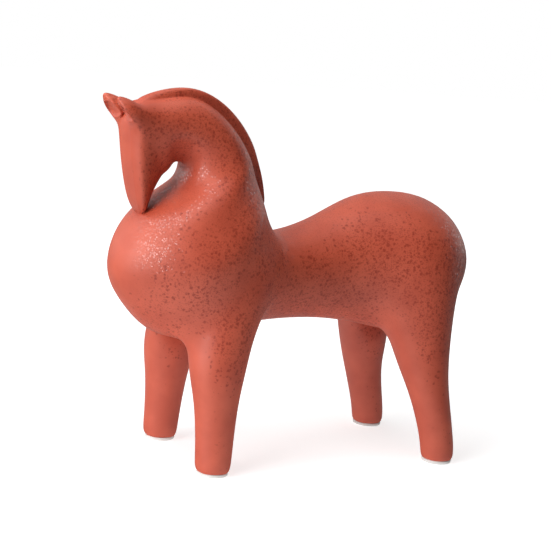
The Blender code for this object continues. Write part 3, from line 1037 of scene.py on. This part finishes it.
@dataclass(frozen=True)
class CoralGlaze:
    """Matte coral glaze: mottled colour, dark red speckles, fine pits and small glassy grains.

    A name that ends in _step holds the start and end of a soft step, and the results there if they
    aren't 0 and 1.
    """

    name: str = "coral_glaze"
    light: Colour = (0.59, 0.100, 0.050, 1.0)
    deep: Colour = (0.51, 0.078, 0.038, 1.0)
    speckle: Colour = (0.30, 0.030, 0.012, 1.0)
    roughness: float = 0.50
    reflection: float = 0.70
    mottle_scale: float = 55.0
    mottle_step: Step = (0.30, 0.70)

    speckle_scale: float = 560.0
    speckle_size: float = 0.52
    speckle_strength: float = 0.80
    fine_scale: float = 980.0
    fine_share: float = 0.65
    wobble_scale: float = 1.7
    wobble_reach: float = 0.9
    size_step: Step = (0.0, 1.0, 0.45, 1.0)
    edge_step: Step = (-0.14, 0.22)
    chosen_step: Step = (0.0, 0.12)
    pit_depth: float = 0.00004
    pit_strength: float = 0.6

    cloud_scale: float = 34.0
    cloud_step: Step = (0.30, 0.60, 0.35, 1.0)
    leg_step: Step = (0.040, 0.085, 0.10, 1.0)
    # Painted light: the next two steps clear dark speckles from faces turned up and forwards, towards the
    # lamps, so those faces read lighter.
    painted_light_top_step: Step = (0.45, 0.85, 1.0, 0.12)
    painted_light_front_step: Step = (-0.85, -0.35, 0.06, 1.0)

    glint_scale: float = 950.0
    glint_step: Step = (0.30, 0.44, 0.75, 0.0)
    glint_tilt: float = 0.34
    glint_roughness: float = 0.14
    glint_ior: float = 1.9
    glint_height_step: Step = (0.065, 0.095)
    glint_chest_step: Step = (-0.108, -0.096)
    head_height_step: Step = (0.140, 0.150)
    head_depth_step: Step = (-0.098, -0.090, 1.0, 0.0)

    def speckle_group(self) -> bpy.types.ShaderNodeTree:
        """Makes the group that scatters soft, uneven spots of one size.

        Returns:
            The group, with a Vector, Scale, Density and Size input and a Mask output.
        """
        group = bpy.data.node_groups.new("glaze_speckles", "ShaderNodeTree")
        face = group.interface
        face.new_socket("Vector", in_out="INPUT", socket_type="NodeSocketVector")
        for name in ("Scale", "Density", "Size"):
            face.new_socket(name, in_out="INPUT", socket_type="NodeSocketFloat")
        face.new_socket("Mask", in_out="OUTPUT", socket_type="NodeSocketFloat")
        sheet = Sheet(group)
        given = sheet.add("NodeGroupInput").outputs
        fine = sheet.times(given["Scale"], self.wobble_scale)
        wobble = sheet.noise(given["Vector"], fine, detail=1.0)
        centred = sheet.vector("SUBTRACT", wobble["Color"], MIDDLE)
        pushed = sheet.scaled(centred, sheet.math("DIVIDE", self.wobble_reach, given["Scale"]))
        cells = sheet.cells(sheet.vector("ADD", given["Vector"], pushed), given["Scale"])
        chance = sheet.add("ShaderNodeSeparateColor", {0: cells["Color"]}).outputs
        size = sheet.times(given["Size"], sheet.ramp(chance[1], *self.size_step))
        soft = sheet.ramp(sheet.math("SUBTRACT", size, cells["Distance"]), *self.edge_step)
        chosen = sheet.ramp(sheet.math("SUBTRACT", given["Density"], chance[0]), *self.chosen_step)
        sheet.add("NodeGroupOutput", {"Mask": sheet.times(soft, chosen)})
        return group

    def density(self, sheet: Sheet, place: Socket) -> Socket:
        """Works out how thickly the speckles lie.

        They gather in clouds on the flanks, neck and rump, and thin out on the lower legs, where the glaze
        drew thin. On faces turned forwards and upwards, such as the front of chest and face and the top of
        the back, they thin out as painted light, which leaves those lamp-lit faces lighter.

        Args:
            sheet: The material's nodes.
            place: Object coordinates.

        Returns:
            The share of spots that show.
        """
        cloud = sheet.noise(place, self.cloud_scale, detail=2.0)
        facing = sheet.split(sheet.add("ShaderNodeNewGeometry").outputs["Normal"])
        return sheet.times(
            sheet.ramp(cloud["Fac"], *self.cloud_step),
            sheet.ramp(sheet.split(place)["Z"], *self.leg_step),
            # Painted light: these two steps clear speckles from faces turned up and forwards, towards the
            # lamps.
            sheet.ramp(facing["Z"], *self.painted_light_top_step),
            sheet.ramp(facing["Y"], *self.painted_light_front_step))

    def glints(self, sheet: Sheet, place: Socket) -> tuple[Socket, Socket]:
        """Scatters the small glassy grains that stand in the matte glaze and catch the lamps.

        Legs, head and the very front of the chest have none.

        Args:
            sheet: The material's nodes.
            place: Object coordinates.

        Returns:
            How glassy the surface is, and the way that each grain faces.
        """
        grains = sheet.cells(place, self.glint_scale)
        at = sheet.split(place)
        head = sheet.times(
            sheet.ramp(at["Z"], *self.head_height_step), sheet.ramp(at["Y"], *self.head_depth_step))
        glassy = sheet.times(
            sheet.ramp(grains["Distance"], *self.glint_step),
            sheet.ramp(at["Z"], *self.glint_height_step),
            sheet.ramp(at["Y"], *self.glint_chest_step),
            sheet.math("SUBTRACT", 1.0, head))
        tilt = sheet.scaled(sheet.vector("SUBTRACT", grains["Color"], MIDDLE), self.glint_tilt)
        turned = sheet.vector("ADD", sheet.add("ShaderNodeNewGeometry").outputs["Normal"], tilt)
        return glassy, sheet.vector("NORMALIZE", turned)

    def build(self) -> bpy.types.Material:
        """Makes the material.

        Returns:
            The material.
        """
        material, sheet, shader = Sheet.of_material(self.name)
        place = sheet.add("ShaderNodeTexCoord").outputs["Object"]
        mottle = sheet.noise(place, self.mottle_scale, detail=4.0)
        colour = sheet.mix(sheet.ramp(mottle["Fac"], *self.mottle_step), self.deep, self.light)
        group = self.speckle_group()
        density = self.density(sheet, place)
        spots, fine = (
            sheet.add("ShaderNodeGroup", {
                "Vector": place, "Scale": scale, "Density": density, "Size": self.speckle_size},
                node_tree=group).outputs[0]
            for scale in (self.speckle_scale, self.fine_scale))
        freckled = sheet.math("MAXIMUM", spots, sheet.times(fine, self.fine_share))
        pits = sheet.bump(sheet.math("SUBTRACT", 1.0, freckled), self.pit_depth, self.pit_strength)
        glassy, tilted = self.glints(sheet, place)
        sheet.feed(shader, {
            "Base Color": sheet.mix(sheet.times(freckled, self.speckle_strength), colour, self.speckle),
            "Normal": pits,
            "Coat Weight": glassy,
            "Coat Normal": tilted,
            "Roughness": self.roughness,
            "Specular IOR Level": self.reflection,
            "Coat Roughness": self.glint_roughness,
            "Coat IOR": self.glint_ior,
        })
        return material


@dataclass(frozen=True)
class WhiteFoam:
    """Soft white foam of the foot pads, with fine open cells."""

    name: str = "white_pad"
    pale: Colour = (0.80, 0.79, 0.77, 1.0)
    shade: Colour = (0.66, 0.65, 0.64, 1.0)
    roughness: float = 0.85
    cell_scale: float = 2600.0
    cell_step: Step = (0.05, 0.6)
    cell_depth: float = 0.0001
    cell_strength: float = 0.4
    blotch_scale: float = 260.0

    def build(self) -> bpy.types.Material:
        """Makes the material.

        Returns:
            The material.
        """
        material, sheet, shader = Sheet.of_material(self.name)
        place = sheet.add("ShaderNodeTexCoord").outputs["Object"]
        cells = sheet.cells(place, self.cell_scale)["Distance"]
        blotch = sheet.noise(place, self.blotch_scale, detail=3.0)["Fac"]
        share = sheet.times(sheet.ramp(cells, *self.cell_step), blotch)
        sheet.feed(shader, {
            "Base Color": sheet.mix(share, self.pale, self.shade),
            "Normal": sheet.bump(cells, self.cell_depth, self.cell_strength),
            "Roughness": self.roughness,
        })
        return material


@dataclass(frozen=True)
class Lamp:
    """One square soft studio lamp.

    Attributes:
        name: Its name.
        place: Where it hangs.
        aim: What it points at.
        size: Its width.
        watts: Its strength.
        mirrored: True if the glaze mirrors it.
        lighting: True if it lights matte surfaces.
    """

    name: str
    place: Point
    aim: Point
    size: float
    watts: float
    mirrored: bool = True
    lighting: bool = True


@dataclass
class Studio:
    """Plain pale floor, soft lamps, white surroundings and the camera.

    A name that ends in _step holds the start and end of a soft step.
    """

    camera_place: Point = (0.7661, -0.4478, 0.2661)
    camera_aim: Point = (0.0, -0.0086, 0.1040)
    camera_lens: float = 102.7
    camera_sensor: float = 36.0
    camera_nearest: float = 0.01
    camera_roll: float = math.radians(5.8)
    ambient: float = 0.02
    backdrop_side: Point = (-0.853, 0.489, -0.181)
    backdrop_white: float = 0.48
    backdrop_step: Step = (-0.05, 0.45)
    screen_side: Point = (-0.55, -0.83, 0.08)
    screen_white: float = 2.0
    screen_step: Step = (0.58, 0.92)
    floor_size: float = 6.0
    floor_roughness: float = 0.9
    floor_paper: Colour = (0.62, 0.62, 0.62, 1.0)
    floor_unlit: Colour = (0.05, 0.05, 0.05, 1.0)
    floor_unlit_step: Step = (-0.02, 0.08)
    floor_white: float = 0.72
    floor_white_step: Step = (0.15, 0.55)
    bounce: float = 0.92
    bounce_place: Point = (0.0, -0.07, 0.0)
    bounce_step: Step = (0.10, 0.32)
    lamps: tuple[Lamp, ...] = (
        Lamp("key", (0.20, -1.12, 0.20), (0.0, -0.02, 0.11), 0.85, 9.2),
        Lamp("boom", (0.34, -0.90, 0.85), (0.0, -0.05, 0.12), 0.55, 5.3, mirrored=False),
        Lamp("glint", (-0.10, -0.69, 1.08), (0.0, -0.05, 0.12), 0.60, 3.4, lighting=False),
        Lamp("top", (0.0, -0.20, 1.20), (0.0, 0.0, 0.11), 1.00, 9.5, mirrored=False),
        Lamp("rim", (-0.34, 1.12, 0.36), (0.0, 0.05, 0.12), 0.55, 0.6, lighting=False),
    )

    def build(self) -> None:
        """Sets up surroundings, floor, lamps and camera."""
        scene = bpy.context.scene
        scene.view_settings.view_transform = "Standard"
        self.surroundings(scene)
        self.floor()
        for lamp in self.lamps:
            self.lamp(lamp)
        self.camera(scene)

    def surroundings(self, scene: bpy.types.Scene) -> None:
        """Makes the world white to the camera, dim as a light, and to the glaze a backdrop and a screen.

        Args:
            scene: The scene.
        """
        world = bpy.data.worlds.new("white_surroundings")
        scene.world = world
        world.use_nodes = True
        sheet = Sheet(world.node_tree)
        rays = sheet.add("ShaderNodeLightPath").outputs
        way = sheet.add("ShaderNodeTexCoord").outputs["Generated"]
        behind = sheet.measure("DOT_PRODUCT", way, self.backdrop_side)
        beside = sheet.measure("DOT_PRODUCT", way, self.screen_side)
        mirrored = sheet.math(
            "MAXIMUM",
            sheet.ramp(behind, *self.backdrop_step, self.ambient, self.backdrop_white),
            sheet.ramp(beside, *self.screen_step, 0.0, self.screen_white))
        light = sheet.blend(rays["Is Glossy Ray"], self.ambient, mirrored)
        sheet.feed(world.node_tree.nodes["Background"], {
            "Color": WHITE, "Strength": sheet.blend(rays["Is Camera Ray"], light, 1.0)})

    def floor(self) -> None:
        """Lays the floor: white to the camera with a soft shadow, and aglow under the figure."""
        bpy.ops.object.select_all(action="DESELECT")
        bpy.ops.mesh.primitive_plane_add(size=self.floor_size)
        floor = bpy.context.active_object
        floor.name = "studio_floor"
        material, sheet, shader = Sheet.of_material("studio_floor")
        rays = sheet.add("ShaderNodeLightPath").outputs
        place = sheet.add("ShaderNodeTexCoord").outputs["Object"]
        behind = sheet.measure("DOT_PRODUCT", place, self.backdrop_side)
        unlit = sheet.times(rays["Is Glossy Ray"], sheet.ramp(behind, *self.floor_unlit_step, 1.0, 0.0))
        reach = sheet.measure("DISTANCE", place, self.bounce_place)
        bounce = sheet.times(rays["Is Diffuse Ray"], sheet.ramp(reach, *self.bounce_step, self.bounce, 0.0))
        white = sheet.ramp(sheet.measure("LENGTH", place), *self.floor_white_step, self.floor_white, 1.0)
        sheet.feed(shader, {
            "Base Color": sheet.mix(unlit, self.floor_paper, self.floor_unlit),
            "Roughness": self.floor_roughness,
            "Specular IOR Level": 0.0,
            "Emission Color": WHITE,
            "Emission Strength": sheet.blend(rays["Is Camera Ray"], bounce, white),
        })
        floor.data.materials.append(material)

    def lamp(self, lamp: Lamp) -> None:
        """Hangs one lamp.

        Args:
            lamp: What it is like.
        """
        data = bpy.data.lights.new(lamp.name, "AREA")
        data.shape = "SQUARE"
        data.size = lamp.size
        data.energy = lamp.watts
        holder = self.place(data, lamp.place, lamp.aim)
        holder.visible_glossy = lamp.mirrored
        holder.visible_diffuse = lamp.lighting

    def camera(self, scene: bpy.types.Scene) -> None:
        """Places the camera at the photograph's angle.

        Args:
            scene: The scene.
        """
        data = bpy.data.cameras.new("camera")
        data.lens = self.camera_lens
        data.sensor_width = self.camera_sensor
        data.clip_start = self.camera_nearest
        scene.camera = self.place(data, self.camera_place, self.camera_aim, self.camera_roll)

    @staticmethod
    def place(data: bpy.types.ID, place: Point, aim: Point, roll: float = 0.0) -> Piece:
        """Puts a lamp or camera in its place and points it.

        Args:
            data: The lamp or camera.
            place: Where it stands.
            aim: What it points at.
            roll: How far it is turned about its own line of sight.

        Returns:
            The object that holds it.
        """
        holder = bpy.data.objects.new(data.name, data)
        bpy.context.collection.objects.link(holder)
        turn = (Vector(aim) - Vector(place)).to_track_quat("-Z", "Y").to_matrix().to_4x4()
        holder.matrix_world = Matrix.Translation(place) @ turn @ Matrix.Rotation(roll, 4, "Z")
        return holder


def dress(pieces: dict[str, Piece], material: bpy.types.Material, slot: Slot) -> None:
    """Gives pieces their finish, hangs them on the root body and hides the frame nodes they replace.

    Args:
        pieces: The pieces by node.
        material: Their material.
        slot: Their slot in the record. It is not used.
    """
    for node, piece in pieces.items():
        piece.data.materials.clear()
        piece.data.materials.append(material)
        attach(piece, ROOT_BODY)
        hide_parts(node)
        LOG.info("%s: %d faces", piece.name, len(piece.data.polygons))


def main() -> None:
    """Builds the figure piece by piece, dresses it and sets up the studio."""
    logging.basicConfig(level=logging.INFO, format="%(name)s: %(message)s")
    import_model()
    form = HorseForm()
    glazed = Castings(form).divide(form.build())
    glazed["tail"] = Tail().build()
    dress(glazed, CoralGlaze().build(), Slot.CORAL_GLAZE)
    pads = FootPads(form).build()
    dress(pads, WhiteFoam().build(), Slot.WHITE_PAD)
    Studio().build()


if __name__ == "__main__":
    main()
